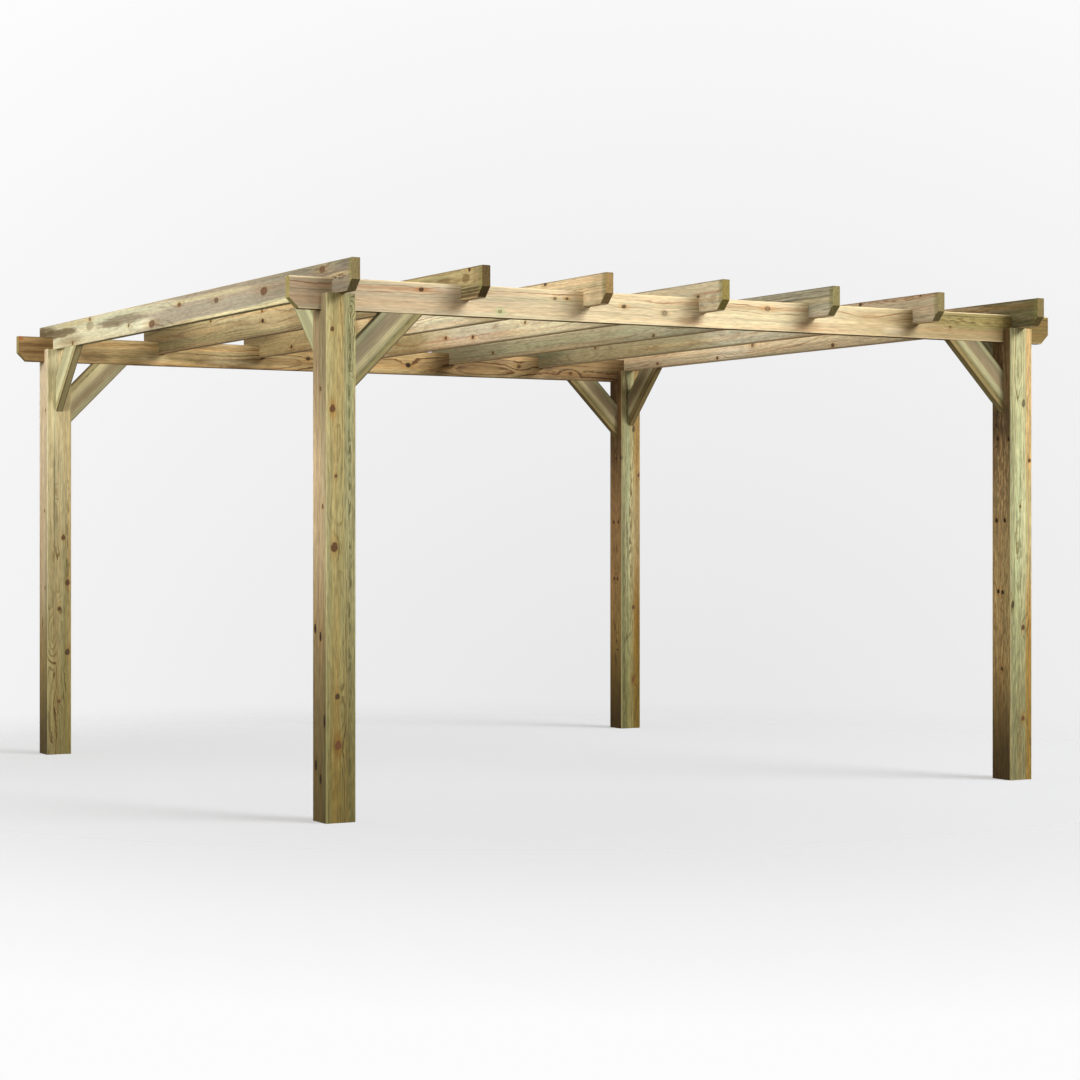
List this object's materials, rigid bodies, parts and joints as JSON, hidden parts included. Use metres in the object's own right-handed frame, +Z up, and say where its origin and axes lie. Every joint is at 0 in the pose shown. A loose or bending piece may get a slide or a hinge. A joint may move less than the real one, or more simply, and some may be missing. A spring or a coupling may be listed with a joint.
{
  "type": "wooden pergola",
  "caption": "Free-standing square garden pergola of planed timber: slotted posts, overhanging beams and rafters with cut tails, notched together and stiffened by knee braces.",
  "frame": {"origin": "on the ground, at the middle of the square that the four posts stand on", "axes": "+X along the beams towards the right posts, +Y along the rafters towards the rear beam, +Z up"},
  "size_m": [3.6, 3.6, 2.07],
  "materials": {
    "post_timber": "planed, pressure-treated softwood, matt, green-tinged tan",
    "beam_timber": "planed, pressure-treated softwood, matt, warm tan",
    "rafter_timber": "planed, pressure-treated softwood, matt, pale straw to olive",
    "brace_timber": "planed, pressure-treated softwood, matt, grey-green"
  },
  "bodies": {
    "root": {"front_left_post": "post_timber", "front_right_post": "post_timber", "rear_left_post": "post_timber", "rear_right_post": "post_timber", "front_beam": "beam_timber", "rear_beam": "beam_timber", "rafter_1": "rafter_timber", "rafter_2": "rafter_timber", "rafter_3": "rafter_timber", "rafter_4": "rafter_timber", "rafter_5": "rafter_timber", "rafter_6": "rafter_timber", "rafter_7": "rafter_timber", "front_left_beam_brace": "brace_timber", "front_left_rafter_brace": "brace_timber", "front_right_beam_brace": "brace_timber", "front_right_rafter_brace": "brace_timber", "rear_left_beam_brace": "brace_timber", "rear_left_rafter_brace": "brace_timber", "rear_right_beam_brace": "brace_timber", "rear_right_rafter_brace": "brace_timber"}
  },
  "joints": []
}
